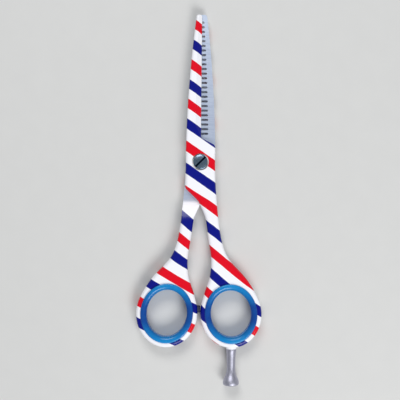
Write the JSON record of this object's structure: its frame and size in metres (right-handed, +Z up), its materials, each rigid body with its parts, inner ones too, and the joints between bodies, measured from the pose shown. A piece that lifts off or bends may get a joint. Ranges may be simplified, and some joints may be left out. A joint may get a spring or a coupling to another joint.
{
  "type": "thinning shears",
  "caption": "Right-handed hair thinning shears: a plain blade over a comb blade on a tension screw, lined finger rings, rubber bumper and screw-in finger rest.",
  "frame": {"origin": "where the pivot axis meets the flat that the closed shears lie on", "axes": "+Y from the pivot to the blade tips, +X towards the finger ring, +Z up through the pivot towards the screw head"},
  "size_m": [0.0596, 0.176, 0.0077],
  "materials": {
    "striped_enamel": "gloss",
    "polished_steel": "polished",
    "spring_steel": "satin",
    "white_nylon": "matte",
    "blue_liner": "gloss",
    "satin_chrome": "satin",
    "black_rubber": "matte"
  },
  "bodies": {
    "finger_side": {"finger_lever": "striped_enamel", "pivot_bush": "white_nylon", "finger_ring_insert": "blue_liner"},
    "thumb_side": {"thumb_lever": "striped_enamel", "pivot_nut": "polished_steel", "ride_washer": "white_nylon", "thumb_ring_insert": "blue_liner", "bumper": "black_rubber"},
    "tension_screw": {"pivot_screw": "polished_steel", "dish_spring": "spring_steel"},
    "rest": {"finger_rest": "satin_chrome"}
  },
  "joints": [
    {"name": "blade_pivot", "type": "hinge", "parent": "finger_side", "child": "thumb_side", "pos_m": [0, 0, 0.0038], "axis": [0, 0, -1], "range_deg": [0, 130]},
    {"name": "tension_adjust", "type": "hinge", "parent": "thumb_side", "child": "tension_screw", "pos_m": [0, 0, 0.0038], "axis": [0, 0, -1], "range_deg": [-90, 45]},
    {"name": "rest_unscrew", "type": "hinge", "parent": "finger_side", "child": "rest", "pos_m": [0.01554, -0.09, 0.0038], "axis": [0, -1, 0], "range_deg": [-360, 0]}
  ]
}
